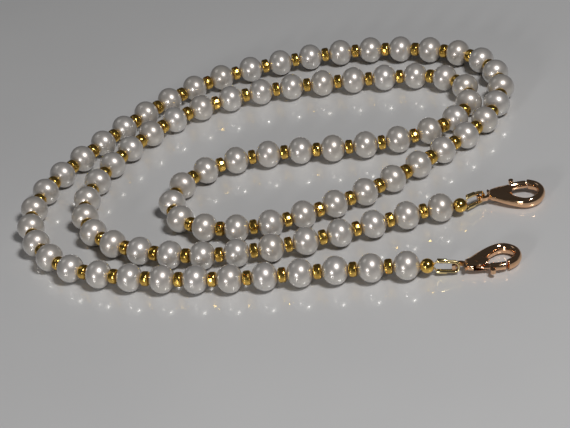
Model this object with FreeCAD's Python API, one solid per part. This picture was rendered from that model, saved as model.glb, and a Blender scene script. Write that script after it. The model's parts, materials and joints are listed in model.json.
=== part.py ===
import FreeCAD, Part
import math
import os

# An eyeglasses chain strap: imitation pearls and gold spacer beads on one beading wire,
# with a covered crimp, a wire guardian and a lobster clasp at each end.
# It lies on a flat surface in a loose double loop. Millimetres, +Z up.
# The origin is under the middle of the whole strap, on that surface.

# Beads and the wire through them
pearl_diameter = 6.7
pearl_length = 5.9          # along the bore, from mouth to mouth
spacer_diameter = 3.5
spacer_length = 1.8
spacer_rounding = 0.6
bore_play = 0.04            # room round the wire in a pearl, in the strand's tightest bend
bead_gap = 0.2              # least room between neighbouring beads
wire_diameter = 0.38

# Covered crimp, one at each end of the strand
crimp_play = 0.05           # room round the wires in the crimp, and round the crimp in its cover
crimp_wall = 0.34
crimp_length = 1.7
cover_diameter = 3.4
cover_length = 2.9
cover_seam = 0.16

# Wire guardian: two short tubes, joined by an open channel that lines the eye of the clasp
guardian_tube = 1.1
guardian_wall = 0.2
guardian_room = 0.7         # in the bend of the channel, round the ring of the eye
guardian_gap = 0.75         # from the crimp's cover to the tubes' mouths
guardian_tube_length = 2.2
guardian_length = 5.1       # from the tubes' mouths to the far side of the bend
loop_lead = 0.15            # the wires reach the tubes' level this far before their mouths

# Lobster clasp, in its own plane: x runs from the eye to the tip, y towards the lever
eye_radius = 1.8
eye_thickness = 1.0
eye_play = 0.4              # between the guardian and the hole of the eye
eye_rounding = 0.3
clasp_thickness = 2.6
clasp_rounding = 0.75
neck_x = 2.8
neck_radius = 1.75
ring_x = 9.9
ring_radius = 4.5
side_radius = 16.0
hook_width = 1.85           # of the ring, across its sides
tip_width = 1.8
opening_length = 6.2        # from the neck to the inside of the tip
opening_rear_radius = 1.0
opening_side_radius = 8.0
slot_width = 1.3
slot_start_x = 2.5
slot_floor_y = -0.9
cheek_reach = 3.0           # from the pin to the front ends of the cheeks
gate_overreach = 0.4        # how far the lever's nose passes the ring's centre
joint_play = 0.12           # between the lever and the claw or the cheeks
pin_x = 3.7
pin_y = 0.9
pin_radius = 0.35
pin_play = 0.05
boss_radius = 0.9
lever_play = 0.1            # between the lever and each side of its slot
lever_inset = 0.1           # the lever's back lies this far inside the clasp's outline
gate_thickness = 1.9
gate_floor_y = 0.45
knob_x = 6.2
knob_rise = 0.25            # of its centre, past the side of the ring
knob_radius = 0.6
knob_stem = 0.7
spring_wire = 0.3
spring_play = 0.05
spring_reach = 5.6

# How each end lies, in degrees from +X towards +Y, or about its own length
ends = [
    {"name": "lower", "guardian_yaw": -11.0, "clasp_yaw": 9.0, "clasp_roll": 0.0, "lever_side": -1},
    {"name": "upper", "guardian_yaw": 32.0, "clasp_yaw": -13.0, "clasp_roll": 5.0, "lever_side": 1},
]
guardian_pitch = 6.9        # down towards the surface, from the crimp to the eye
crimp_drop = 0.4            # how far the crimps' centres lie below the pearls' centres
end_lift = 0.1              # the wire is this much higher where the strand starts to slope down

# The strand's route over the surface, from the centre of the lower crimp to that of the upper one
route = [
    (30.0, -52.6), (25.0, -51.4), (15.5, -49.6), (4.0, -46.9), (-10.0, -45.0), (-26.0, -40.2), (-40.5, -34.2),
    (-54.3, -25.0), (-61.5, -6.0), (-56.8, 12.0), (-41.5, 29.5), (-27.0, 43.5), (-10.5, 53.3),
    (6.0, 55.3), (24.5, 55.0), (42.5, 49.3), (56.5, 40.3), (60.8, 28.5), (60.0, 16.5),
    (52.5, 3.5), (38.0, -7.2), (23.5, -16.5), (8.0, -21.9), (-7.5, -24.6), (-21.5, -19.0),
    (-26.5, -8.5), (-22.8, 2.1), (-13.0, 8.6), (2.5, 8.8), (17.0, 5.0), (33.5, 3.6),
    (45.4, 7.2), (52.0, 15.6), (51.8, 26.4), (43.9, 33.8), (28.0, 37.6), (12.0, 40.6),
    (-4.0, 41.4), (-18.5, 38.0), (-31.5, 28.0), (-41.8, 14.5), (-47.6, -0.5), (-45.3, -14.3),
    (-36.5, -23.8), (-22.5, -31.8), (-7.0, -34.2), (9.5, -33.7), (26.0, -31.2), (36.0, -30.2),
    (41.2, -30.2),
]
# The route's points at which one row or bend of the strand ends and the next begins
row_ends = [6, 9, 15, 19, 23, 27, 31, 34, 38, 43]

turn_share = 0.45           # of the shorter run beside each turn, taken up by its arc

V = FreeCAD.Vector
x_axis = V(1, 0, 0)
y_axis = V(0, 1, 0)
z_axis = V(0, 0, 1)


# Straight runs joined by tangent arcs; returns the edges and the arcs' radii
def rounded_path(points):
    edges = []
    radii = []
    start = points[0]
    for before, corner, after in zip(points, points[1:], points[2:]):
        back = (before - corner).normalize()
        onward = (after - corner).normalize()
        trim = turn_share * min(before.distanceToPoint(corner), after.distanceToPoint(corner))
        half_turn = (math.pi - back.getAngle(onward)) / 2
        radius = trim / math.tan(half_turn)
        bisector = (back + onward).normalize()
        first = corner + back * trim
        last = corner + onward * trim
        middle = corner + bisector * (radius / math.cos(half_turn) - radius)
        edges.append(Part.LineSegment(start, first).toShape())
        edges.append(Part.Arc(first, middle, last).toShape())
        radii.append(radius)
        start = last
    edges.append(Part.LineSegment(start, points[-1]).toShape())
    return edges, radii


# A round wire or tube along a path, given by its edges
def swept_wire(edges, diameter):
    start = edges[0].valueAt(edges[0].FirstParameter)
    direction = edges[0].tangentAt(edges[0].FirstParameter)
    section = Part.Wire([Part.makeCircle(diameter / 2, start, direction)])
    return Part.Wire(edges).makePipeShell([section], True, False)


# The point and direction at a distance along a path
def station(edges, distance):
    for edge in edges:
        if distance <= edge.Length or edge is edges[-1]:
            place = edge.getParameterByLength(min(distance, edge.Length))
            return edge.valueAt(place), edge.tangentAt(place)
        distance -= edge.Length


# A closed outline in the XY plane, turned about the X axis
def turned(edges):
    return Part.Face(Part.Wire(edges)).revolve(V(0, 0, 0), x_axis, 360)


# Half an ellipse over the bore: mouth is the half length at the bore's edge
def crowned_bead(mouth, radius, bore_radius):
    half_length = mouth / math.sqrt(1 - (bore_radius / radius) ** 2)
    if radius >= half_length:
        ellipse = Part.Ellipse(V(0, radius, 0), V(-half_length, 0, 0), V(0, 0, 0))
    else:
        ellipse = Part.Ellipse(V(half_length, 0, 0), V(0, radius, 0), V(0, 0, 0))
    right = V(mouth, bore_radius, 0)
    left = V(-mouth, bore_radius, 0)
    from_right = ellipse.parameter(right)
    to_left = ellipse.parameter(left)
    crown = ellipse.parameter(V(0, radius, 0))
    edges = [
        Part.ArcOfEllipse(ellipse, from_right, crown).toShape(),
        Part.ArcOfEllipse(ellipse, crown, to_left).toShape(),
        Part.LineSegment(left, right).toShape(),
    ]
    return turned(edges)


def pearl():
    return crowned_bead(pearl_length / 2, pearl_diameter / 2, bead_bore / 2)


def spacer():
    half = spacer_length / 2
    radius = spacer_diameter / 2
    shoulder = radius - spacer_rounding
    inset = half - spacer_rounding
    bend = spacer_rounding * math.sqrt(0.5)
    corners = [V(-half, bead_bore / 2, 0), V(-half, shoulder, 0), V(-inset, radius, 0),
               V(inset, radius, 0), V(half, shoulder, 0), V(half, bead_bore / 2, 0)]
    edges = [
        Part.LineSegment(corners[0], corners[1]).toShape(),
        Part.Arc(corners[1], V(-inset - bend, shoulder + bend, 0), corners[2]).toShape(),
        Part.LineSegment(corners[2], corners[3]).toShape(),
        Part.Arc(corners[3], V(inset + bend, shoulder + bend, 0), corners[4]).toShape(),
        Part.LineSegment(corners[4], corners[5]).toShape(),
        Part.LineSegment(corners[5], corners[0]).toShape(),
    ]
    return turned(edges)


# A copy of a bead at a distance along the strand, with its bore along the wire
def strung(bead, edges, distance):
    place, direction = station(edges, distance)
    placed = bead.copy()
    placed.Placement = FreeCAD.Placement(place, FreeCAD.Rotation(x_axis, direction))
    return placed


def rod(radius, start, direction, length):
    return Part.makeCylinder(radius, length, start, direction)


def tube(outer, inner, start, direction, length):
    return rod(outer, start, direction, length).cut(rod(inner, start, direction, length))


# The sizes that fit the wires, the crimp, its cover and the guardian into each other
loop_offset = (wire_diameter + crimp_play) / 2
crimp_inside = loop_offset + wire_diameter / 2 + crimp_play
crimp_outside = crimp_inside + crimp_wall
cover_inside = crimp_outside + crimp_play
guardian_spacing = guardian_tube + eye_thickness + guardian_room
guardian_start = cover_length / 2 + guardian_gap
guardian_reach = guardian_start + guardian_length
guardian_bend_x = guardian_reach - guardian_spacing / 2
eye_hole = guardian_tube / 2 + eye_play

# The sizes that follow from the clasp's ring
opening_front_radius = ring_radius - hook_width
opening_front_x = ring_x + ring_radius - tip_width - opening_front_radius
opening_rear_x = ring_x + ring_radius - tip_width - opening_length + opening_rear_radius
gate_reach = ring_x + gate_overreach - pin_x
knob_y = ring_radius + knob_rise


def crimp_tube():
    return tube(crimp_outside, crimp_inside, V(-crimp_length / 2, 0, 0), x_axis, crimp_length)


def crimp_cover():
    ball = crowned_bead(cover_length / 2, cover_diameter / 2, cover_inside)
    seam = Part.makeBox(cover_length, cover_diameter, cover_seam)
    seam.translate(V(-cover_length / 2, 0, -cover_seam / 2))
    return ball.cut(seam)


# The channel is the half of the tube that lies towards the inside of the bend
def wire_guardian():
    outer = guardian_tube / 2
    inner = outer - guardian_wall
    level = guardian_spacing / 2
    mouth = guardian_start + guardian_tube_length
    pieces = []
    for side in (1, -1):
        pieces.append(tube(outer, inner, V(guardian_start, 0, side * level), x_axis, guardian_tube_length))
    outline = [
        Part.Arc(V(mouth, -outer, level), V(mouth, 0, level - outer), V(mouth, outer, level)).toShape(),
        Part.LineSegment(V(mouth, outer, level), V(mouth, inner, level)).toShape(),
        Part.Arc(V(mouth, inner, level), V(mouth, 0, level - inner), V(mouth, -inner, level)).toShape(),
        Part.LineSegment(V(mouth, -inner, level), V(mouth, -outer, level)).toShape(),
    ]
    section = Part.Face(Part.Wire(outline))
    arm = section.extrude(x_axis * (guardian_bend_x - mouth))
    lower_arm = arm.mirror(V(0, 0, 0), z_axis)
    bend_start = section.copy()
    bend_start.translate(x_axis * (guardian_bend_x - mouth))
    bend = bend_start.revolve(V(guardian_bend_x, 0, 0), y_axis, 180)
    return pieces[0].multiFuse([pieces[1], arm, lower_arm, bend]).removeSplitter()


# The wire's end runs out of the crimp, through the guardian and back into the crimp
def wire_loop(crimp_place, guardian_place):
    level = guardian_spacing / 2
    arms = []
    for side in (1, -1):
        arms.append([
            crimp_place.multVec(V(crimp_play, 0, side * loop_offset)),
            crimp_place.multVec(V(cover_length / 2, 0, side * (loop_offset + crimp_play))),
            guardian_place.multVec(V(guardian_start - loop_lead, 0, side * level)),
            guardian_place.multVec(V(guardian_bend_x, 0, side * level)),
        ])
    out_edges = rounded_path(arms[0])[0]
    back_edges = rounded_path(arms[1][::-1])[0]
    bend = Part.Arc(arms[0][3], guardian_place.multVec(V(guardian_reach, 0, 0)), arms[1][3]).toShape()
    return swept_wire(out_edges + [bend] + back_edges, wire_diameter)


# Two circles on the X axis, joined by two arcs that touch both; the outline of the clasp and its opening
def teardrop(rear_x, rear_radius, front_x, front_radius, side):
    span = front_x - rear_x
    to_rear = side - rear_radius
    to_front = side - front_radius
    along = (to_rear ** 2 - to_front ** 2 + span ** 2) / (2 * span)
    centre = V(rear_x + along, -math.sqrt(to_rear ** 2 - along ** 2), 0)
    rear = V(rear_x, 0, 0)
    front = V(front_x, 0, 0)
    rear_touch = rear + (rear - centre).normalize() * rear_radius
    front_touch = front + (front - centre).normalize() * front_radius
    middle = centre + ((rear_touch + front_touch) / 2 - centre).normalize() * side

    def across(point):
        return V(point.x, -point.y, 0)

    edges = [
        Part.Arc(rear_touch, middle, front_touch).toShape(),
        Part.Arc(front_touch, V(front_x + front_radius, 0, 0), across(front_touch)).toShape(),
        Part.Arc(across(front_touch), across(middle), across(rear_touch)).toShape(),
        Part.Arc(across(rear_touch), V(rear_x - rear_radius, 0, 0), rear_touch).toShape(),
    ]
    return Part.Face(Part.Wire(edges))


# A flat face made into a plate, half of it above and half below its plane
def plate(face, thickness):
    lowered = face.copy()
    lowered.translate(V(0, 0, -thickness / 2))
    return lowered.extrude(V(0, 0, thickness))


def block(x_from, x_to, y_from, y_to, thickness):
    box = Part.makeBox(x_to - x_from, y_to - y_from, thickness)
    box.translate(V(x_from, y_from, -thickness / 2))
    return box


def disc(x, y, radius, thickness):
    return rod(radius, V(x, y, -thickness / 2), z_axis, thickness)


# Rounds the edges that lie on the two flat sides of a plate
def round_rims(shape, thickness, radius):
    rims = []
    for edge in shape.Edges:
        box = edge.BoundBox
        flat = box.ZLength < 1e-4
        if flat and abs(abs(box.ZMax) - thickness / 2) < 1e-4:
            rims.append(edge)
    return shape.makeFillet(radius, rims)


def clasp_outline(inset):
    return teardrop(neck_x, neck_radius - inset, ring_x, ring_radius - inset, side_radius - inset)


def clasp_opening():
    return teardrop(opening_rear_x, opening_rear_radius, opening_front_x, opening_front_radius,
                    opening_side_radius)


beyond = 2 * ring_radius    # far enough to leave the clasp at any side


# The room that the gate swings in: a ring round the pin, on the lever's side of the clasp
def gate_room(inner, outer, floor_y, thickness):
    ring = disc(pin_x, pin_y, outer, thickness).cut(disc(pin_x, pin_y, inner, thickness))
    return ring.common(block(pin_x, pin_x + outer, floor_y, beyond, thickness))


def clasp_body():
    shell = plate(clasp_outline(0), clasp_thickness).cut(plate(clasp_opening(), clasp_thickness))
    shell = round_rims(shell, clasp_thickness, clasp_rounding)
    eye = round_rims(disc(0, 0, eye_radius, eye_thickness), eye_thickness, eye_rounding)
    body = shell.fuse(eye).cut(disc(0, 0, eye_hole, clasp_thickness))
    slot_end_x = pin_x + cheek_reach + joint_play
    body = body.cut(block(slot_start_x, slot_end_x, slot_floor_y, beyond, slot_width))
    gap = gate_room(cheek_reach, gate_reach + joint_play, -joint_play, 2 * clasp_thickness)
    body = body.cut(gap)
    return body.cut(disc(pin_x, pin_y, pin_radius, 2 * clasp_thickness))


def clasp_lever():
    thickness = slot_width - 2 * lever_play
    outline = clasp_outline(lever_inset)
    tail_x = pin_x - boss_radius + lever_inset
    corners = [(tail_x, pin_y), (pin_x, pin_y - boss_radius), (pin_x + cheek_reach, gate_floor_y),
               (pin_x + gate_reach, gate_floor_y), (pin_x + gate_reach, beyond), (tail_x, beyond)]
    points = [V(x, y, 0) for x, y in corners]
    region = Part.Face(Part.makePolygon(points + points[:1]))
    arm_reach = cheek_reach + 2 * joint_play
    arm = plate(outline, thickness).common(plate(region, thickness))
    arm = arm.common(disc(pin_x, pin_y, arm_reach, thickness))
    gate = plate(outline, gate_thickness).cut(plate(clasp_opening(), gate_thickness))
    gate = gate.common(gate_room(cheek_reach + joint_play, gate_reach, gate_floor_y, gate_thickness))
    boss = disc(pin_x, pin_y, boss_radius, thickness)
    knob = round_rims(disc(knob_x, knob_y, knob_radius, thickness), thickness, knob_radius / 3)
    stem = block(knob_x - knob_stem / 2, knob_x + knob_stem / 2, pin_y, knob_y, knob_stem)
    lever = arm.multiFuse([gate, boss, knob, stem])
    return lever.cut(disc(pin_x, pin_y, pin_radius + pin_play, clasp_thickness))


def clasp_pin():
    return disc(pin_x, pin_y, pin_radius, clasp_thickness)


# A hairpin of spring wire, between the floor of the slot and the lever's arm
def clasp_spring():
    half = spring_wire / 2
    low = slot_floor_y + half + spring_play
    rear_x = slot_start_x + half + 2 * spring_play
    rear_y = pin_y - boss_radius - spring_wire
    rise = (spring_reach - pin_x) / cheek_reach * (gate_floor_y - pin_y + boss_radius)
    high = pin_y - boss_radius + rise - half - 3 * spring_play
    points = [V(spring_reach, low, 0), V(rear_x, low, 0), V(rear_x, rear_y, 0), V(spring_reach, high, 0)]
    return swept_wire(rounded_path(points)[0], spring_wire)


# Export and report
def keep(name, shape):
    shape.exportStep(os.path.join("parts", name + ".step"))
    box = shape.BoundBox
    print(name, len(shape.Solids), "solids,", round(shape.Volume, 3), "mm3, z",
          round(box.ZMin, 3), "to", round(box.ZMax, 3))
    return box


os.makedirs("parts", exist_ok=True)
pearl_level = pearl_diameter / 2
levels = [pearl_level] * len(route)
levels[0] -= crimp_drop
levels[1] += end_lift
levels[-2] += end_lift
levels[-1] -= crimp_drop
strand_edges, strand_radii = rounded_path([V(x, y, z) for (x, y), z in zip(route, levels)])
strand_length = sum(edge.Length for edge in strand_edges)
strand = swept_wire(strand_edges, wire_diameter)
ideal = math.pi * wire_diameter ** 2 / 4 * strand_length
print("arc radii", [round(radius, 1) for radius in strand_radii])
print("strand", round(strand_length, 2), "mm, volume over section times length",
      round(strand.Volume / ideal, 4))
whole = keep("beading_wire", strand)

# The bore is as wide as the curve of the wire inside a pearl needs
wire_bow = pearl_length ** 2 / (8 * min(strand_radii))
bead_bore = wire_diameter + 2 * (wire_bow + bore_play)
print("bore", round(bead_bore, 3))

# As many pearls as the strand holds, evenly spaced, with a spacer between each two
end_room = (cover_length + pearl_length) / 2 + bead_gap
room = strand_length - 2 * end_room
gaps = math.floor(room / (pearl_length + spacer_length + 2 * bead_gap))
pitch = room / gaps
print(gaps + 1, "pearls,", gaps, "spacers, pitch", round(pitch, 3))

# The distance along the strand at which each row or bend ends, in the middle of that turn's arc
limits = []
for turn in row_ends:
    before_arc = sum(edge.Length for edge in strand_edges[:2 * turn - 1])
    limits.append(before_arc + strand_edges[2 * turn - 1].Length / 2)


def row_of(distance):
    return sum(1 for limit in limits if distance > limit)


def row_name(row):
    kind = "row" if row % 2 == 0 else "bend"
    return kind + "_" + str(row // 2 + 1)


for kind, bead, first, count in (("pearls", pearl(), 0, gaps + 1), ("spacers", spacer(), 0.5, gaps)):
    places = [end_room + (first + number) * pitch for number in range(count)]
    for row in range(len(limits) + 1):
        beads = [strung(bead, strand_edges, place) for place in places if row_of(place) == row]
        whole.add(keep(kind + "_" + row_name(row), Part.makeCompound(beads)))


def turned_to(yaw, pitch_down, roll):
    heading = FreeCAD.Rotation(z_axis, yaw)
    nod = FreeCAD.Rotation(y_axis, pitch_down)
    lean = FreeCAD.Rotation(x_axis, roll)
    return heading.multiply(nod).multiply(lean)


joints = {}
for end, here, beside in zip(ends, (0, -1), (1, -2)):
    centre = V(route[here][0], route[here][1], levels[here])
    outward_x = route[here][0] - route[beside][0]
    outward_y = route[here][1] - route[beside][1]
    strand_yaw = math.degrees(math.atan2(outward_y, outward_x))
    crimp_yaw = (strand_yaw + end["guardian_yaw"]) / 2
    crimp = FreeCAD.Placement(centre, turned_to(crimp_yaw, guardian_pitch, 0))
    guardian = FreeCAD.Placement(centre, turned_to(end["guardian_yaw"], guardian_pitch, 0))
    flip = 0 if end["lever_side"] > 0 else 180
    eye = guardian.multVec(V(guardian_reach, 0, 0))
    # The clasp slopes down from the guardian until its tip all but touches the surface
    lean = ring_radius * math.sin(math.radians(end["clasp_roll"]))
    clasp_pitch = math.degrees(math.asin((eye.z - clasp_thickness / 2 - lean) / (ring_x + ring_radius)))
    clasp = FreeCAD.Placement(eye, turned_to(end["clasp_yaw"], clasp_pitch, end["clasp_roll"] + flip))
    joints[end["name"] + "_clasp"] = (eye, clasp.Rotation.multVec(z_axis))
    joints[end["name"] + "_lever"] = (clasp.multVec(V(pin_x, pin_y, 0)), clasp.Rotation.multVec(-z_axis))
    pieces = [
        ("crimp_tube", crimp_tube(), crimp),
        ("crimp_cover", crimp_cover(), crimp),
        ("wire_guardian", wire_guardian(), guardian),
        ("clasp_body", clasp_body(), clasp),
        ("clasp_lever", clasp_lever(), clasp),
        ("clasp_pin", clasp_pin(), clasp),
        ("clasp_spring", clasp_spring(), clasp),
    ]
    for name, shape, place in pieces:
        shape.Placement = place
        whole.add(keep(end["name"] + "_" + name, shape))
    whole.add(keep(end["name"] + "_wire_loop", wire_loop(crimp, guardian)))

for name, (centre, axis) in joints.items():
    print(name, "turns about", [round(v, 4) for v in centre], "along", [round(v, 6) for v in axis])
print("whole, from", [round(v, 2) for v in (whole.XMin, whole.YMin, whole.ZMin)],
      "to", [round(v, 2) for v in (whole.XMax, whole.YMax, whole.ZMax)])
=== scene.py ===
import json
import math
import random

import bmesh
import bpy
from mathutils import Matrix, Vector


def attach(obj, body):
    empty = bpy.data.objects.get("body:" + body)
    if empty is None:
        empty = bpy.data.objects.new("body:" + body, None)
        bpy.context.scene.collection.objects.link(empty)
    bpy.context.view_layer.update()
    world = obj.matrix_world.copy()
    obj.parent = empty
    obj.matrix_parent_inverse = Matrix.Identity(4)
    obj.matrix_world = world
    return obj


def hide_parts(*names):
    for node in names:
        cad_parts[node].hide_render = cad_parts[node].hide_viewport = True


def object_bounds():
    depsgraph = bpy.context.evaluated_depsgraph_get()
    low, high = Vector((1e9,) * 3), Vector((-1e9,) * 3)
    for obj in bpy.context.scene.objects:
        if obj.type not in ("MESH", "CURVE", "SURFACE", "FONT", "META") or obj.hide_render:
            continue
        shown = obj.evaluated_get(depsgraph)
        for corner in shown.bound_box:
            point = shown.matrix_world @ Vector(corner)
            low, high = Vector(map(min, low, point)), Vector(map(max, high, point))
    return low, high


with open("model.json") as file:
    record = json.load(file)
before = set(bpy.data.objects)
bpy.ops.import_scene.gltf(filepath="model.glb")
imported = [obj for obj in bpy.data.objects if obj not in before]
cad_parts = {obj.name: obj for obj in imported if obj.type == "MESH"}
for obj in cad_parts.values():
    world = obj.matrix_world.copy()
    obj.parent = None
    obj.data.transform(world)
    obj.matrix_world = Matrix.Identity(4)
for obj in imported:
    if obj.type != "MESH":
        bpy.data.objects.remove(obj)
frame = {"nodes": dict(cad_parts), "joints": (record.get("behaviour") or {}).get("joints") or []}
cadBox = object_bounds()
mm = 0.001
near = 0.01 * mm     # a corner this near to a plane lies on it
flatOn = 0.9         # a face whose normal has more than this along z faces along z
edgeSteps = 2        # faces across a softened edge


# Camera: it looks down at the strap from the side of the lower clasp, and leans a little
view = {
    "place": (0.906 * mm, -457.81 * mm, 272.9 * mm),
    "tilt": 31.652,             # degrees below the horizon
    "lean": -10.502,
    "lens": 137.66,
    "sensor": 36.0,
    "clip": (0.01, 20.0),
}


def makeCamera():
    data = bpy.data.cameras.new("camera")
    data.lens = view["lens"]
    data.sensor_width = view["sensor"]
    data.clip_start, data.clip_end = view["clip"]
    camera = bpy.data.objects.new("camera", data)
    bpy.context.scene.collection.objects.link(camera)
    turn = Matrix.Rotation(math.radians(90 - view["tilt"]), 4, "X")
    turn = turn @ Matrix.Rotation(math.radians(view["lean"]), 4, "Z")
    camera.matrix_world = Matrix.Translation(view["place"]) @ turn
    bpy.context.scene.camera = camera


makeCamera()
print("camera done")


# Small helpers for working as in the viewport
def onlySelect(piece):
    bpy.ops.object.select_all(action="DESELECT")
    piece.select_set(True)
    bpy.context.view_layer.objects.active = piece


def editOn(kind):
    bpy.ops.object.mode_set(mode="EDIT")
    bpy.ops.mesh.select_mode(type=kind)


def editOff():
    bpy.ops.object.mode_set(mode="OBJECT")


def selectWhere(kind, rule):
    bpy.ops.mesh.select_mode(type=kind)
    bpy.ops.mesh.select_all(action="DESELECT")
    mesh = bmesh.from_edit_mesh(bpy.context.object.data)
    parts = {"VERT": mesh.verts, "EDGE": mesh.edges, "FACE": mesh.faces}[kind]
    for part in parts:
        if rule(part):
            part.select_set(True)
    bmesh.update_edit_mesh(bpy.context.object.data)


def middleOf(part):
    return sum((corner.co for corner in part.verts), Vector()) / len(part.verts)


def addModifier(piece, kind, settings):
    modifier = piece.modifiers.new(kind.lower(), kind)
    for setting, value in settings.items():
        setattr(modifier, setting, value)
    onlySelect(piece)
    bpy.ops.object.modifier_apply(modifier=modifier.name)


def smoothShade(piece, angle):
    onlySelect(piece)
    bpy.ops.object.shade_smooth_by_angle(angle=math.radians(angle))


def onlyMaterial(piece, metal):
    piece.data.materials.clear()
    piece.data.materials.append(metals[metal])


# A copy with its own mesh, moved there by its mesh
def placedCopy(piece, name, place):
    copy = piece.copy()
    copy.data = piece.data.copy()
    copy.name = name
    copy.data.name = name
    copy.data.transform(place)
    bpy.context.scene.collection.objects.link(copy)
    return copy


def joined(pieces, name):
    bpy.ops.object.select_all(action="DESELECT")
    for piece in pieces:
        piece.select_set(True)
    bpy.context.view_layer.objects.active = pieces[0]
    if len(pieces) > 1:
        bpy.ops.object.join()
    whole = bpy.context.object
    whole.name = name
    whole.data.name = name
    return whole


def discard(piece):
    bpy.data.objects.remove(piece)


# A smooth line, drawn by its control points and without thickness
def drawnLine(name, places, smoothness):
    curve = bpy.data.curves.new(name, "CURVE")
    curve.dimensions = "3D"
    curve.resolution_u = smoothness
    spline = curve.splines.new("NURBS")
    spline.points.add(len(places) - 1)
    for point, place in zip(spline.points, places):
        point.co = (*place, 1)
    spline.order_u = 3
    spline.use_endpoint_u = True
    line = bpy.data.objects.new(name, curve)
    bpy.context.scene.collection.objects.link(line)
    return line


def thicken(line, radius, roundness):
    line.data.bevel_depth = radius
    line.data.bevel_resolution = roundness
    line.data.use_fill_caps = True


# A line's middle, read before the line gets its thickness
def middleLine(line):
    bpy.context.view_layer.update()
    mesh = bpy.data.meshes.new_from_object(line)
    places = [corner.co.copy() for corner in mesh.vertices]
    bpy.data.meshes.remove(mesh)
    return places


def asMesh(line):
    onlySelect(line)
    bpy.ops.object.convert(target="MESH")
    return bpy.context.object


# A place whose z axis runs along a direction, turned by an angle about it
def alongZ(centre, direction, roll):
    turn = direction.to_track_quat("Z", "Y").to_matrix().to_4x4()
    return Matrix.Translation(centre) @ turn @ Matrix.Rotation(roll, 4, "Z")


def fromAxes(centre, xAxis, yAxis, zAxis):
    place = Matrix((xAxis, yAxis, zAxis)).transposed().to_4x4()
    place.translation = centre
    return place


# Shader maths: a Value is a socket that takes part in Python expressions
class Value:
    def __init__(self, finish, socket):
        self.finish = finish
        self.socket = socket

    def maths(self, operation, first, second):
        return self.finish.node("ShaderNodeMath", {"operation": operation}, {0: first, 1: second})

    def __add__(self, other):
        return self.maths("ADD", self, other)

    def __radd__(self, other):
        return self.maths("ADD", other, self)

    def __sub__(self, other):
        return self.maths("SUBTRACT", self, other)

    def __rsub__(self, other):
        return self.maths("SUBTRACT", other, self)

    def __mul__(self, other):
        return self.maths("MULTIPLY", self, other)

    def __rmul__(self, other):
        return self.maths("MULTIPLY", other, self)


class Finish:
    def __init__(self, name):
        self.material = bpy.data.materials.new(name)
        self.material.use_nodes = True
        self.tree = self.material.node_tree
        self.shader = self.tree.nodes["Principled BSDF"]

    def feed(self, made, inputs):
        for socket, value in inputs.items():
            if isinstance(value, Value):
                self.tree.links.new(made.inputs[socket], value.socket)
            else:
                made.inputs[socket].default_value = value

    def node(self, kind, settings, inputs, output=0):
        made = self.tree.nodes.new(kind)
        for setting, value in settings.items():
            if setting == "stops":
                while len(made.color_ramp.elements) < len(value):
                    made.color_ramp.elements.new(1.0)
                for stop, (position, colour) in zip(made.color_ramp.elements, value):
                    stop.position = position
                    stop.color = colour
            else:
                setattr(made, setting, value)
        self.feed(made, inputs)
        return Value(self, made.outputs[output])

    def objectPoint(self):
        return self.node("ShaderNodeTexCoord", {}, {}, "Object")

    def noise(self, scale, detail, roughness=0.5):
        return self.node("ShaderNodeTexNoise", {}, {"Vector": self.objectPoint(), "Scale": scale,
                                                    "Detail": detail, "Roughness": roughness})

    def mix(self, factor, first, second):
        return self.node("ShaderNodeMix", {"data_type": "RGBA"}, {0: factor, 6: first, 7: second}, 2)

    def bump(self, height, strength, distance):
        return self.node("ShaderNodeBump", {}, {"Height": height, "Strength": strength, "Distance": distance})

    def surface(self, inputs):
        self.feed(self.shader, inputs)
        return self.material


def rgb(red, green, blue):
    return (red, green, blue, 1.0)


# Pearl: a soft body colour under a clear, slightly uneven nacre lacquer
pearlFinish = {
    "light": rgb(0.70, 0.67, 0.63),
    "cream": rgb(0.66, 0.61, 0.54),
    "blush": rgb(0.68, 0.61, 0.60),
    "roughness": 0.34,
    "roughnessSpread": 0.12,
    "cloudScale": 260.0,
    "cloudDetail": 3.0,
    "cloudShare": 0.5,
    "rippleScale": 900.0,
    "rippleDetail": 2.0,
    "rippleStrength": 0.12,
    "rippleDepth": 0.02 * mm,
    "lacquer": {
        "Metallic": 0.55,
        "IOR": 1.6,
        "Coat Weight": 1.0,
        "Coat Roughness": 0.1,
        "Coat IOR": 1.7,
        "Thin Film Thickness": 420.0,
        "Thin Film IOR": 1.45,
    },
}


def pearlMaterial():
    nacre = Finish("pearlNacre")
    tone = nacre.node("ShaderNodeAttribute", {"attribute_name": "beadTone"}, {}, "Fac")
    cloud = nacre.noise(pearlFinish["cloudScale"], pearlFinish["cloudDetail"])
    ripple = nacre.noise(pearlFinish["rippleScale"], pearlFinish["rippleDetail"])
    body = nacre.mix(tone, pearlFinish["light"], pearlFinish["cream"])
    body = nacre.mix(cloud * pearlFinish["cloudShare"], body, pearlFinish["blush"])
    return nacre.surface({
        "Base Color": body,
        "Roughness": pearlFinish["roughness"] + pearlFinish["roughnessSpread"] * (cloud - 0.5),
        "Normal": nacre.bump(ripple, pearlFinish["rippleStrength"], pearlFinish["rippleDepth"]),
        **pearlFinish["lacquer"],
    })


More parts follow.
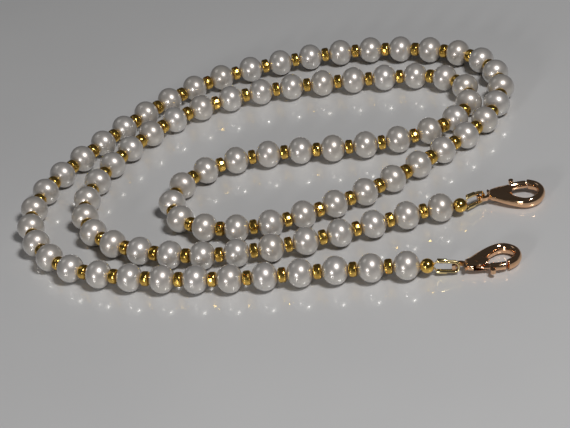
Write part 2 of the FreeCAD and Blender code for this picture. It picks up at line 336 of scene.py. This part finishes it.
# Metals: body colour, worn colour, roughness, and the fineness and depth of the tumbling marks
metalFinishes = {
    "goldBead": {"colour": rgb(0.92, 0.60, 0.14), "worn": rgb(0.70, 0.38, 0.05), "roughness": 0.16,
                 "markScale": 1400.0, "markDepth": 0.02 * mm},
    "goldFitting": {"colour": rgb(0.92, 0.74, 0.38), "worn": rgb(0.80, 0.55, 0.22), "roughness": 0.14,
                    "markScale": 1600.0, "markDepth": 0.01 * mm},
    "roseGold": {"colour": rgb(0.90, 0.58, 0.36), "worn": rgb(0.74, 0.42, 0.22), "roughness": 0.09,
                 "markScale": 1800.0, "markDepth": 0.006 * mm},
    "springSteel": {"colour": rgb(0.62, 0.61, 0.60), "worn": rgb(0.42, 0.41, 0.40), "roughness": 0.28,
                    "markScale": 2400.0, "markDepth": 0.01 * mm},
    "beadingWire": {"colour": rgb(0.80, 0.66, 0.36), "worn": rgb(0.55, 0.42, 0.20), "roughness": 0.35,
                    "markScale": 2600.0, "markDepth": 0.02 * mm},
}


# How every metal wears: in soft patches, wider than its marks
wearing = {
    "patchWidth": 4,            # in marks
    "patchDetail": 3.0,
    "markDetail": 4.0,
    "markRoughness": 0.6,
    "begins": 0.45,
    "isFull": 0.75,
    "share": 0.5,
    "markDulling": 0.10,
    "patchDulling": 0.05,
    "markStrength": 0.15,
}


def metalMaterial(name):
    look = metalFinishes[name]
    metal = Finish(name)
    patch = metal.noise(look["markScale"] / wearing["patchWidth"], wearing["patchDetail"])
    marks = metal.noise(look["markScale"], wearing["markDetail"], wearing["markRoughness"])
    stops = [(wearing["begins"], rgb(0, 0, 0)), (wearing["isFull"], rgb(1, 1, 1))]
    wear = metal.node("ShaderNodeValToRGB", {"stops": stops}, {"Fac": patch})
    dulling = wearing["markDulling"]
    return metal.surface({
        "Base Color": metal.mix(wear * wearing["share"], look["colour"], look["worn"]),
        "Roughness": look["roughness"] + dulling * (marks - 0.5) + wearing["patchDulling"] * wear,
        "Normal": metal.bump(marks, wearing["markStrength"], look["markDepth"]),
        "Metallic": 1.0,
    })


nacre = pearlMaterial()
metals = {name: metalMaterial(name) for name in metalFinishes}
print("materials done")


# Beading wire, in millimetres over the surface, from the lower crimp to the upper one
strand = {
    "route": [
        (30.0, -52.6), (25.0, -51.4), (15.5, -49.6), (4.0, -46.9), (-10.0, -45.0), (-26.0, -40.2),
        (-40.5, -34.2), (-54.3, -25.0), (-61.5, -6.0), (-56.8, 12.0), (-41.5, 29.5), (-27.0, 43.5),
        (-10.5, 53.3),
        (6.0, 55.3), (24.5, 55.0), (42.5, 49.3), (56.5, 40.3), (60.8, 28.5), (60.0, 16.5),
        (52.5, 3.5), (38.0, -7.2), (23.5, -16.5), (8.0, -21.9), (-7.5, -24.6), (-21.5, -19.0),
        (-26.5, -8.5), (-22.8, 2.1), (-13.0, 8.6), (2.5, 8.8), (17.0, 5.0), (33.5, 3.6),
        (45.4, 7.2), (52.0, 15.6), (51.8, 26.4), (43.9, 33.8), (28.0, 37.6), (12.0, 40.6),
        (-4.0, 41.4), (-18.5, 38.0), (-31.5, 28.0), (-41.8, 14.5), (-47.6, -0.5), (-45.3, -14.3),
        (-36.5, -23.8), (-22.5, -31.8), (-7.0, -34.2), (9.5, -33.7), (26.0, -31.2), (36.0, -30.2),
        (41.2, -30.2),
    ],
    "level": 3.35,
    "endDrop": 0.4,
    "endLift": 0.2,
    "wire": 0.38 * mm,
    "length": 722.5 * mm,
    "smoothness": 16,
    "roundness": 3,
}


def routePoints():
    levels = [strand["level"]] * len(strand["route"])
    levels[0] -= strand["endDrop"]
    levels[-1] -= strand["endDrop"]
    levels[1] += strand["endLift"]
    levels[-2] += strand["endLift"]
    return [Vector((x, y, z)) * mm for (x, y), z in zip(strand["route"], levels)]


route = routePoints()


wire = drawnLine("beading_wire_line", route, strand["smoothness"])
wireLine = middleLine(wire)
thicken(wire, strand["wire"] / 2, strand["roundness"])
wire.data.materials.append(metals["beadingWire"])
lineLength = sum((b - a).length for a, b in zip(wireLine, wireLine[1:]))
print("wire done,", round(lineLength / mm, 1), "mm")


# The place at a distance along the wire, and the wire's direction there
def stationOn(distance):
    for a, b in zip(wireLine, wireLine[1:]):
        step = (b - a).length
        if distance <= step:
            break
        distance -= step
    return a + (b - a) * (distance / step), (b - a).normalized()


# Cuts both ends off, square across the bore
def squareEnds(mouth):
    for side in (1, -1):
        bpy.ops.mesh.select_all(action="SELECT")
        bpy.ops.mesh.bisect(plane_co=(0, 0, side * mouth), plane_no=(0, 0, side), clear_outer=True)


# The bore from mouth to mouth, with softened mouths
def openBore(mouth, boreRadius, softness):
    roundMouth = boreRadius + 0.1 * mm
    squareEnds(mouth)
    bpy.ops.mesh.select_mode(type="EDGE")
    bpy.ops.mesh.select_all(action="DESELECT")
    bpy.ops.mesh.select_non_manifold()
    bpy.ops.mesh.bridge_edge_loops()
    selectWhere("EDGE", lambda edge: all(
        abs(abs(corner.co.z) - mouth) < near and corner.co.xy.length < roundMouth
        for corner in edge.verts))
    bpy.ops.mesh.bevel(offset=softness, segments=edgeSteps)


# Pearl, standing on its bore
pearl = {
    "diameter": 6.7 * mm,
    "length": 6.0 * mm,        # from mouth to mouth
    "bore": 1.2 * mm,
    "mouthSoftness": 0.07 * mm,
    "segments": 48,
    "rings": 24,
    "sharpFrom": 50,            # degrees
}


# An egg, left in edit mode. Its ends, when cut off at the mouth, have an opening of this diameter
def openEgg(shape, opening):
    radius = shape["diameter"] / 2
    mouth = shape["length"] / 2
    halfLength = mouth / math.sqrt(1 - (opening / shape["diameter"]) ** 2)
    bpy.ops.object.select_all(action="DESELECT")
    bpy.ops.mesh.primitive_uv_sphere_add(segments=shape["segments"], ring_count=shape["rings"], radius=radius)
    editOn("FACE")
    bpy.ops.transform.resize(value=(1, 1, halfLength / radius))
    return mouth


def makePearl():
    mouth = openEgg(pearl, pearl["bore"])
    openBore(mouth, pearl["bore"] / 2, pearl["mouthSoftness"])
    editOff()
    bead = bpy.context.object
    bead.data.materials.append(nacre)
    smoothShade(bead, pearl["sharpFrom"])
    return bead


# Gold spacer bead, standing on its bore
spacer = {
    "diameter": 3.5 * mm,
    "length": 1.85 * mm,
    "rounding": 0.5 * mm,
    "roundingSteps": 5,
    "bore": 1.2 * mm,
    "mouthSoftness": 0.06 * mm,
    "segments": 28,
    "unevenness": 0.03,
    "sharpFrom": 60,
}


# Opens both ends of a disc up to a rim, and gives the bore its wall
def cutBore(rimWidth):
    selectWhere("FACE", lambda face: abs(face.normal.z) > flatOn)
    bpy.ops.mesh.inset(thickness=rimWidth, use_individual=True)
    bpy.ops.mesh.delete(type="FACE")
    selectWhere("EDGE", lambda edge: edge.is_boundary)
    bpy.ops.mesh.bridge_edge_loops()


def makeSpacer():
    radius = spacer["diameter"] / 2
    half = spacer["length"] / 2
    rim = radius * 0.9
    roundMouth = spacer["bore"] * 0.6
    bpy.ops.object.select_all(action="DESELECT")
    bpy.ops.mesh.primitive_cylinder_add(vertices=spacer["segments"], radius=radius, depth=spacer["length"])
    editOn("FACE")
    cutBore(radius - spacer["bore"] / 2)
    selectWhere("EDGE", lambda edge: all(
        abs(abs(corner.co.z) - half) < near and corner.co.xy.length > rim for corner in edge.verts))
    bpy.ops.mesh.bevel(offset=spacer["rounding"], segments=spacer["roundingSteps"])
    selectWhere("EDGE", lambda edge: all(
        abs(abs(corner.co.z) - half) < near and corner.co.xy.length < roundMouth for corner in edge.verts))
    bpy.ops.mesh.bevel(offset=spacer["mouthSoftness"], segments=edgeSteps)
    bpy.ops.mesh.select_all(action="SELECT")
    bpy.ops.mesh.normals_make_consistent(inside=False)
    editOff()
    bead = bpy.context.object
    bead.data.materials.append(metals["goldBead"])
    smoothShade(bead, spacer["sharpFrom"])
    return bead


# How the beads are strung: their number, and the rows and bends they lie in
stringing = {
    "pearls": 89,
    "endRoom": 4.6 * mm,      # from a crimp's centre to the nearest pearl's centre
    "firstSpacer": 0.5,       # in pitches after the first pearl
    "turns": [6, 9, 15, 19, 23, 27, 31, 34, 38, 43],
    "seed": 7,
}


def stretchName(number):
    kind = "row" if number % 2 == 0 else "bend"
    return kind + "_" + str(number // 2 + 1)


# The distance along the wire that passes nearest to each of the route's turns
def turnDistances():
    found = []
    for turn in stringing["turns"]:
        run = 0
        best = None
        for a, b in zip(wireLine, wireLine[1:]):
            away = (a - route[turn]).length
            if best is None or away < best[0]:
                best = (away, run)
            run += (b - a).length
        found.append(best[1])
    return found


# Every bead has a turn, a size and a tone of its own
def stringBeads(kind, bead, first, count, pitch, limits, unevenness):
    stretches = {}
    for number in range(count):
        distance = stringing["endRoom"] + (first + number) * pitch
        centre, direction = stationOn(distance)
        place = alongZ(centre, direction, random.uniform(0, math.tau))
        size = [1 + random.uniform(-unevenness, 0) for axis in range(3)]
        place = place @ Matrix.Diagonal((*size, 1))
        copy = placedCopy(bead, kind + "Copy", place)
        tone = copy.data.attributes.new("beadTone", "FLOAT", "POINT")
        tone.data.foreach_set("value", [random.random()] * len(copy.data.vertices))
        stretch = sum(1 for limit in limits if distance > limit)
        stretches.setdefault(stretch, []).append(copy)
    for stretch, beads in stretches.items():
        name = stretchName(stretch)
        group = joined(beads, kind + "_of_" + name)
        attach(group, "strand")
        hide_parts(kind + "_" + name)
    discard(bead)


random.seed(stringing["seed"])
pitch = (lineLength - 2 * stringing["endRoom"]) / (stringing["pearls"] - 1)
limits = turnDistances()
stringBeads("pearls", makePearl(), 0, stringing["pearls"], pitch, limits, 0.0)
print("pearls done, pitch", round(pitch / mm, 3), "mm")
stringBeads("spacers", makeSpacer(), stringing["firstSpacer"], stringing["pearls"] - 1, pitch, limits,
            spacer["unevenness"])
print("spacers done")

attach(wire, "strand")
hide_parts("beading_wire")


# The places of one end's fittings, from the joints that the clasp and its lever turn about
def endPlaces(end, centre, beside):
    joints = {joint["name"]: joint for joint in frame["joints"]}
    eye = Vector(joints[end + "_clasp_swing"]["pos_m"])
    hinge = joints[end + "_lever_hinge"]
    claspZ = -Vector(hinge["axis"]).normalized()
    toPin = Vector(hinge["pos_m"]) - eye
    pinX, pinY = clasp["pin"]
    claspX = (toPin * pinX - claspZ.cross(toPin) * pinY).normalized()
    up = Vector((0, 0, 1))
    outX = (eye - centre).normalized()
    outY = up.cross(outX).normalized()
    strandX = (centre - beside).normalized()
    halfway = Vector((outX.x, outX.y, 0)).normalized() + Vector((strandX.x, strandX.y, 0)).normalized()
    crimpX = Vector((*halfway.normalized().xy * math.sqrt(1 - outX.z ** 2), outX.z)).normalized()
    crimpY = up.cross(crimpX).normalized()
    return {
        "clasp": fromAxes(eye, claspX, claspZ.cross(claspX), claspZ),
        "guardian": fromAxes(centre, outX, outY, outX.cross(outY)),
        "crimp": fromAxes(centre, crimpX, crimpY, crimpX.cross(crimpY)),
    }


# Crimp cover: a hollow gold ball, closed over the crimp, with a seam on one side
cover = {
    "diameter": 3.4 * mm,
    "length": 2.9 * mm,
    "mouth": 1.69 * mm,
    "wall": 0.12 * mm,
    "edge": 0.05 * mm,
    "segments": 64,
    "rings": 24,
    "sharpFrom": 40,
}


# Gives an open sheet its wall, inwards, and softens the wall's edges
def addWall(piece, shape):
    addModifier(piece, "SOLIDIFY", {"thickness": shape["wall"], "offset": -1.0})
    addModifier(piece, "BEVEL", {"width": shape["edge"], "segments": edgeSteps, "limit_method": "ANGLE"})


def makeCover():
    mouth = openEgg(cover, cover["mouth"])
    squareEnds(mouth)
    seam = math.pi / cover["segments"]
    selectWhere("FACE", lambda face: abs(math.atan2(*middleOf(face).xy) - seam) < seam)
    bpy.ops.mesh.delete(type="FACE")
    editOff()
    shell = bpy.context.object
    addWall(shell, cover)
    shell.data.materials.append(metals["goldBead"])
    smoothShade(shell, cover["sharpFrom"])
    return shell


# Wire guardian: half of it is modelled and mirrored. x runs out to the bend, z across
guardian = {
    "tube": 1.1 * mm,
    "wall": 0.2 * mm,
    "edge": 0.04 * mm,
    "weld": 0.005 * mm,
    "spacing": 2.8 * mm,
    "start": 2.2 * mm,
    "tubeLength": 2.2 * mm,
    "reach": 7.3 * mm,
    "segments": 24,
    "bendSteps": 12,
    "sharpFrom": 40,
}


def makeGuardian():
    level = guardian["spacing"] / 2
    bendX = guardian["reach"] - level
    mouth = guardian["start"] + guardian["tubeLength"]
    bpy.ops.object.select_all(action="DESELECT")
    bpy.ops.mesh.primitive_circle_add(vertices=guardian["segments"], radius=guardian["tube"] / 2,
                                      location=(guardian["start"], 0, level), rotation=(0, math.pi / 2, 0))
    bpy.ops.object.transform_apply(location=True, rotation=True, scale=True)
    editOn("EDGE")
    bpy.ops.mesh.select_all(action="SELECT")
    bpy.ops.mesh.extrude_region_move(TRANSFORM_OT_translate={"value": (guardian["tubeLength"], 0, 0)})
    selectWhere("EDGE", lambda edge: middleOf(edge).x > mouth - near and middleOf(edge).z < level)
    bpy.ops.mesh.extrude_region_move(TRANSFORM_OT_translate={"value": (bendX - mouth, 0, 0)})
    selectWhere("EDGE", lambda edge: middleOf(edge).x > bendX - near)
    bpy.ops.mesh.spin(steps=guardian["bendSteps"], angle=math.pi / 2, center=(bendX, 0, 0), axis=(0, -1, 0))
    bpy.ops.mesh.select_all(action="SELECT")
    bpy.ops.mesh.remove_doubles(threshold=guardian["weld"])
    bpy.ops.mesh.normals_make_consistent(inside=True)
    editOff()
    channel = bpy.context.object
    addModifier(channel, "MIRROR", {"use_axis": (False, False, True), "merge_threshold": near})
    addWall(channel, guardian)
    channel.data.materials.append(metals["goldFitting"])
    smoothShade(channel, guardian["sharpFrom"])
    return channel


# The wire's end, out of the crimp, through the guardian and back
loop = {
    "start": 0.05 * mm,
    "crimpOffset": 0.215 * mm,
    "partAt": 1.6 * mm,
    "lead": 0.15 * mm,
    "bendReach": 0.985,         # of the guardian's reach
    "bendHalf": 0.8,            # of the half spacing
    "smoothness": 8,
    "sharpFrom": 60,
}


def makeLoop(end, places):
    level = guardian["spacing"] / 2
    start = guardian["start"]
    inCrimp = [(loop["start"], loop["crimpOffset"]), (loop["partAt"], loop["crimpOffset"])]
    inGuardian = [(start - loop["lead"], level), (start + guardian["tubeLength"] / 2, level),
                  (guardian["reach"] - level, level),
                  (guardian["reach"] * loop["bendReach"], level * loop["bendHalf"])]
    arms = []
    for side in (1, -1):
        arm = [places["crimp"] @ Vector((x, 0, side * z)) for x, z in inCrimp]
        arm += [places["guardian"] @ Vector((x, 0, side * z)) for x, z in inGuardian]
        arms.append(arm)
    line = drawnLine(end + "_loop", arms[0] + arms[1][::-1], loop["smoothness"])
    thicken(line, strand["wire"] / 2, strand["roundness"])
    piece = asMesh(line)
    piece.data.materials.append(metals["beadingWire"])
    smoothShade(piece, loop["sharpFrom"])
    return piece


# Clasp, in its own plane: x from the eye to the tip, y towards the lever, z through it.
# Each stretch is a line of places in millimetres, with its half width there
clasp = {
    "hook": [((9.97, 3.575), 0.92), ((11.6, 3.2), 0.9), ((13.1, 1.75), 0.88), ((13.6, 0.0), 0.86),
             ((13.1, -1.8), 0.88), ((11.6, -3.3), 0.9), ((9.9, -3.65), 0.95), ((8.2, -3.15), 1.1),
             ((6.8, -2.5), 1.25), ((5.3, -1.5), 1.6), ((4.1, -0.5), 1.9), ((3.0, 0.0), 1.8)],
    "cheeks": [((1.15, 0.0), 0.25), ((1.25, 0.0), 1.0), ((2.0, 0.0), 1.75), ((2.9, 0.1), 2.05),
               ((4.0, 0.4), 2.25), ((5.2, 0.95), 2.05), ((6.1, 1.8), 1.4)],
    "hookRound": 0.85 * mm,     # where a stretch is thinner than this, it is round
    "cheekRound": 1.3 * mm,
    "eye": 1.8 * mm,
    "eyeHole": 1.0 * mm,
    "eyeDepth": 1.0 * mm,
    "halfDepth": 1.3 * mm,
    "slotLow": (2.5 * mm, -0.9 * mm, -0.65 * mm),
    "slotHigh": (6.82 * mm, 6 * mm, 0.65 * mm),
    "pin": (3.7 * mm, 0.9 * mm),
    "pinRadius": 0.35 * mm,
    "cheekReach": 3.0 * mm,
    "gapReach": 6.72 * mm,
    "gapFloor": -0.12 * mm,
    "grain": 0.08 * mm,
    "smoothing": 8,
    "rodSmoothness": 8,
    "rodRoundness": 6,
    "eyeSegments": 64,
    "holeSegments": 48,
    "pinSegments": 32,
    "roomSegments": 96,
    "through": 5 * mm,          # deep enough to cut right through
    "sharpFrom": 40,
}


# A rod along places in millimetres that swells and thins, but is equally deep except at a thin tip
def swellingRod(stretch, halfDepth, roundBelow):
    rod = drawnLine("rod", [(x * mm, y * mm, 0) for (x, y), halfWidth in stretch], clasp["rodSmoothness"])
    for point, (place, halfWidth) in zip(rod.data.splines[0].points, stretch):
        point.radius = halfWidth
    middle = middleLine(rod)
    thicken(rod, mm, clasp["rodRoundness"])
    rod = asMesh(rod)
    for corner in rod.data.vertices:
        halfWidth = min((corner.co - place).length for place in middle)
        corner.co.z *= halfDepth / max(halfWidth, roundBelow)
    return rod


# Makes one smooth casting of several solids
def cast(pieces, name, grain, passes):
    whole = joined(pieces, name)
    addModifier(whole, "REMESH", {"mode": "VOXEL", "voxel_size": grain})
    addModifier(whole, "SMOOTH", {"factor": 0.5, "iterations": passes})
    return whole


def cutAway(piece, cutter):
    addModifier(piece, "BOOLEAN", {"object": cutter, "operation": "DIFFERENCE", "solver": "EXACT"})
    discard(cutter)


def blockBetween(low, high):
    bpy.ops.object.select_all(action="DESELECT")
    bpy.ops.mesh.primitive_cube_add(size=1, location=(low + high) / 2, scale=high - low)
    bpy.ops.object.transform_apply(location=True, rotation=True, scale=True)
    return bpy.context.object


# A disc at a place in the clasp's plane
def discAt(place, radius, depth, segments):
    bpy.ops.object.select_all(action="DESELECT")
    bpy.ops.mesh.primitive_cylinder_add(vertices=segments, radius=radius, depth=depth, location=(*place, 0))
    bpy.ops.object.transform_apply(location=True, rotation=True, scale=True)
    return bpy.context.object


# The room in which the gate swings: a ring about the pin, on the lever's side
def gateRoom(inner, outer, floorY, depth):
    room = discAt(clasp["pin"], outer, depth, clasp["roomSegments"])
    editOn("FACE")
    cutBore(outer - inner)
    bpy.ops.mesh.select_all(action="SELECT")
    bpy.ops.mesh.bisect(plane_co=(0, floorY, 0), plane_no=(0, -1, 0), clear_outer=True, use_fill=True)
    bpy.ops.mesh.select_all(action="SELECT")
    bpy.ops.mesh.normals_make_consistent(inside=False)
    editOff()
    return room


def makeClaw():
    hook = swellingRod(clasp["hook"], clasp["halfDepth"], clasp["hookRound"])
    cheeks = swellingRod(clasp["cheeks"], clasp["halfDepth"], clasp["cheekRound"])
    eye = discAt((0, 0), clasp["eye"], clasp["eyeDepth"], clasp["eyeSegments"])
    claw = cast([hook, cheeks, eye], "claw", clasp["grain"], clasp["smoothing"])
    cutAway(claw, blockBetween(Vector(clasp["slotLow"]), Vector(clasp["slotHigh"])))
    cutAway(claw, gateRoom(clasp["cheekReach"], clasp["gapReach"], clasp["gapFloor"], clasp["through"]))
    cutAway(claw, discAt(clasp["pin"], clasp["pinRadius"], clasp["through"], clasp["pinSegments"]))
    cutAway(claw, discAt((0, 0), clasp["eyeHole"], clasp["through"], clasp["holeSegments"]))
    onlyMaterial(claw, "roseGold")
    smoothShade(claw, clasp["sharpFrom"])
    return claw


# Lever, in the clasp's plane: an arm on the pin, a gate that closes the hook, and a thumb knob
lever = {
    "arm": [((3.75, 0.95), 0.85), ((4.6, 1.75), 0.9), ((5.8, 2.45), 0.75), ((7.2, 3.05), 0.7)],
    "armHalf": 0.55 * mm,
    "thinnest": 0.6 * mm,
    "gate": [((6.2, 2.75), 0.8), ((7.3, 3.2), 0.85), ((8.6, 3.5), 0.87), ((10.2, 3.62), 0.85)],
    "gateHalf": 0.95 * mm,
    "knob": (6.2 * mm, 4.75 * mm),
    "knobRadius": 0.58 * mm,
    "stemLow": (5.9 * mm, 2.6 * mm, -0.33 * mm),
    "stemHigh": (6.5 * mm, 4.7 * mm, 0.33 * mm),
    "holeRadius": 0.4 * mm,
    "roomInner": 3.12 * mm,
    "reach": 6.6 * mm,
    "trimDepth": 6 * mm,
    "grain": 0.06 * mm,
    "smoothing": 4,
}


def makeLever():
    arm = swellingRod(lever["arm"], lever["armHalf"], lever["thinnest"])
    gate = swellingRod(lever["gate"], lever["gateHalf"], lever["thinnest"])
    cutAway(gate, discAt(clasp["pin"], lever["roomInner"], lever["trimDepth"], clasp["roomSegments"]))
    reach = discAt(clasp["pin"], lever["reach"], lever["trimDepth"], clasp["roomSegments"])
    addModifier(gate, "BOOLEAN", {"object": reach, "operation": "INTERSECT", "solver": "EXACT"})
    discard(reach)
    knob = discAt(lever["knob"], lever["knobRadius"], 2 * lever["armHalf"], clasp["pinSegments"])
    stem = blockBetween(Vector(lever["stemLow"]), Vector(lever["stemHigh"]))
    whole = cast([arm, gate, knob, stem], "lever", lever["grain"], lever["smoothing"])
    cutAway(whole, discAt(clasp["pin"], lever["holeRadius"], clasp["through"], clasp["pinSegments"]))
    onlyMaterial(whole, "roseGold")
    smoothShade(whole, clasp["sharpFrom"])
    return whole


coverMaster = makeCover()
clawMaster = makeClaw()
leverMaster = makeLever()
print("clasps done")
guardianMaster = makeGuardian()
ends = {"lower": (route[0], route[1]), "upper": (route[-1], route[-2])}
for end, (centre, beside) in ends.items():
    places = endPlaces(end, centre, beside)
    ballPlace = places["crimp"] @ Matrix.Rotation(math.pi / 2, 4, "Y")
    ball = placedCopy(coverMaster, end + "_gold_ball", ballPlace)
    channel = placedCopy(guardianMaster, end + "_guardian", places["guardian"])
    wireLoop = makeLoop(end, places)
    claw = placedCopy(clawMaster, end + "_claw", places["clasp"])
    gate = placedCopy(leverMaster, end + "_gate", places["clasp"])
    pieces = [
        (ball, "strand", "crimp_cover", "gold_bead"),
        (channel, "strand", "wire_guardian", "gold_fitting"),
        (wireLoop, "strand", "wire_loop", "beading_wire"),
        (claw, end + "_clasp", "clasp_body", "rose_gold"),
        (gate, end + "_lever", "clasp_lever", "rose_gold"),
    ]
    for piece, body, node, slot in pieces:
        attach(piece, body)
        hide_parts(end + "_" + node)
    shown = {"crimp_tube": "goldFitting", "clasp_pin": "roseGold", "clasp_spring": "springSteel"}
    for node, metal in shown.items():
        onlyMaterial(frame["nodes"][end + "_" + node], metal)
for master in (coverMaster, guardianMaster, clawMaster, leverMaster):
    discard(master)
print("fittings done")


# Floor: a pale satin tabletop
floor = {
    "size": 1.6,
    "gap": 0.01 * mm,           # under the strap's lowest point
    "colour": rgb(0.74, 0.735, 0.73),
    "clouded": rgb(0.66, 0.655, 0.655),
    "cloudScale": 14.0,
    "cloudDetail": 4.0,
    "grainScale": 900.0,
    "grainDetail": 2.0,
    "grainStrength": 0.1,
    "grainDepth": 0.02 * mm,
    "roughness": 0.34,
    "roughnessSpread": 0.06,
    "varnish": {"Coat Weight": 1.0, "Coat Roughness": 0.04, "Coat IOR": 1.6},
}


def makeFloor():
    bpy.ops.object.select_all(action="DESELECT")
    bpy.ops.mesh.primitive_plane_add(size=floor["size"], location=(0, 0, cadBox[0].z - floor["gap"]))
    bpy.ops.object.transform_apply(location=True, rotation=True, scale=True)
    plane = bpy.context.object
    plane.name = "floor"
    satin = Finish("floorSatin")
    cloud = satin.noise(floor["cloudScale"], floor["cloudDetail"])
    grain = satin.noise(floor["grainScale"], floor["grainDetail"])
    plane.data.materials.append(satin.surface({
        "Base Color": satin.mix(cloud, floor["colour"], floor["clouded"]),
        "Roughness": floor["roughness"] + floor["roughnessSpread"] * (grain - 0.5),
        "Normal": satin.bump(grain, floor["grainStrength"], floor["grainDepth"]),
        **floor["varnish"],
    }))


makeFloor()


# Studio light: a bright lamp over the camera's side, a small low one to its left, a broad weak one
# behind, and a dim room
lights = {
    "key": {"direction": (0.33, -0.47, 0.81), "distance": 0.9, "size": 0.2, "power": 4.6},
    "side": {"direction": (-0.52, -0.81, 0.26), "distance": 0.9, "size": 0.14, "power": 1.6},
    "back": {"direction": (-0.55, 0.35, 0.76), "distance": 1.2, "size": 0.5, "power": 0.35},
    "room": 0.04,
    "roomColour": (0.96, 0.97, 1.0),
}


def makeLights():
    for name in ("key", "side", "back"):
        lamp = lights[name]
        data = bpy.data.lights.new(name, "AREA")
        data.shape = "DISK"
        data.size = lamp["size"]
        data.energy = lamp["power"]
        light = bpy.data.objects.new(name, data)
        bpy.context.scene.collection.objects.link(light)
        direction = Vector(lamp["direction"]).normalized()
        light.location = direction * lamp["distance"]
        light.rotation_euler = direction.to_track_quat("Z", "Y").to_euler()
    world = bpy.data.worlds.new("room")
    world.use_nodes = True
    background = world.node_tree.nodes["Background"]
    background.inputs["Color"].default_value = (*lights["roomColour"], 1)
    background.inputs["Strength"].default_value = lights["room"]
    bpy.context.scene.world = world
    bpy.context.scene.view_settings.view_transform = "Standard"


makeLights()
print("stage done")
